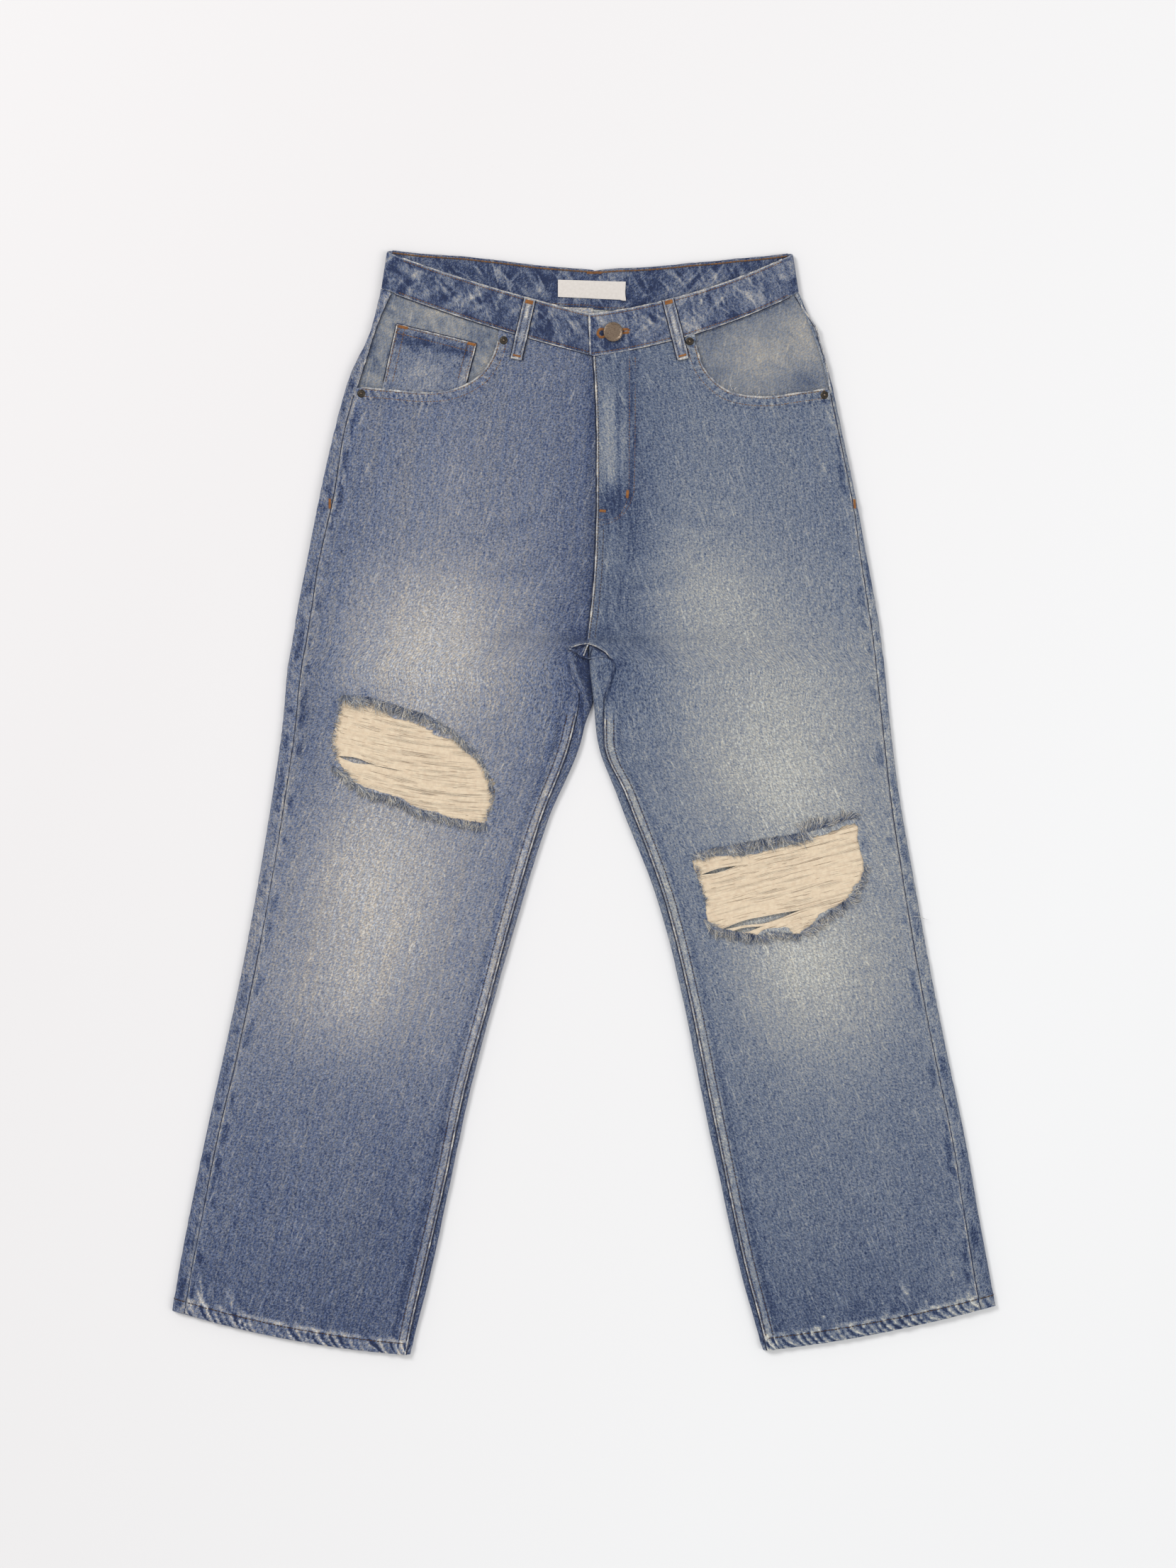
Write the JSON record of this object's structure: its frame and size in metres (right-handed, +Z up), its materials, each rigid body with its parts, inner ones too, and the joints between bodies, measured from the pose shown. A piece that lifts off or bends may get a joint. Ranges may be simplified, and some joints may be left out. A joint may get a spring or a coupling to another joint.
{
  "type": "ripped jeans",
  "caption": "Wide straight-leg denim jeans laid flat, front up, with scoop pockets, a coin pocket, a buttoned waistband and a ripped hole across each thigh.",
  "frame": {"origin": "middle of the outline, on the surface that the jeans lie on", "axes": "+X to the wearer's left, +Y from the hems to the waist, +Z up from the surface, front of the jeans up"},
  "size_m": [0.8124, 1.0892, 0.0118],
  "materials": {
    "denim": "washed indigo twill, faded on thighs and knees, white at worn edges",
    "bleached_denim": "indigo twill bleached to a yellowish grey",
    "weft": "bare cream weft threads",
    "topstitch": "tan and brown topstitching thread",
    "bartack": "rust orange bar tacks",
    "tape": "off-white woven tape, bare",
    "button_metal": "aged brass, satin",
    "rivet_metal": "dark aged brass"
  },
  "bodies": {
    "root": {"front_right": "denim", "front_left": "denim", "back_right": "denim", "back_left": "denim", "yoke_right": "denim", "yoke_left": "denim", "waistband": "denim", "pocket_facing_right": "denim", "pocket_facing_left": "bleached_denim", "coin_pocket": "denim", "back_pocket_right": "denim", "back_pocket_left": "denim", "belt_loop_front_right": "denim", "belt_loop_front_left": "denim", "belt_loop_back_right": "denim", "belt_loop_back_centre": "denim", "belt_loop_back_left": "denim", "rip_threads_right": "weft", "rip_threads_left": "weft", "label": "tape", "button": "button_metal", "rivet_fly_right": "rivet_metal", "rivet_side_right": "rivet_metal", "rivet_fly_left": "rivet_metal", "rivet_side_left": "rivet_metal"}
  },
  "joints": []
}
